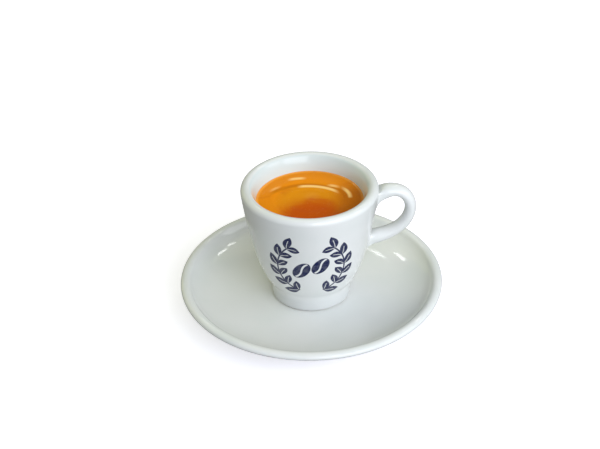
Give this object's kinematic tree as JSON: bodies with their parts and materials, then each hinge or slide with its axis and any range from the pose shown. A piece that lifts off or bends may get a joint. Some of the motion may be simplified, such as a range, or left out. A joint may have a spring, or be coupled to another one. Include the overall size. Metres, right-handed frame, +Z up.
{
  "type": "espresso shot in a cup and saucer",
  "caption": "Espresso with a hazelnut crema in a thick white porcelain cup with an ear handle, standing on a round saucer with a rolled lip.",
  "frame": {"origin": "centre of the saucer's foot ring, on the surface that it stands on", "axes": "+Z up; +X towards the cup's handle; -Y towards the decorated front of the cup"},
  "size_m": [0.1222, 0.1222, 0.0683],
  "materials": {
    "porcelain": "smooth white glaze, high gloss",
    "crema": "wet hazelnut coffee foam, satin gloss"
  },
  "bodies": {
    "root": {"saucer": "porcelain", "cup": "porcelain", "espresso": "crema"}
  },
  "joints": []
}
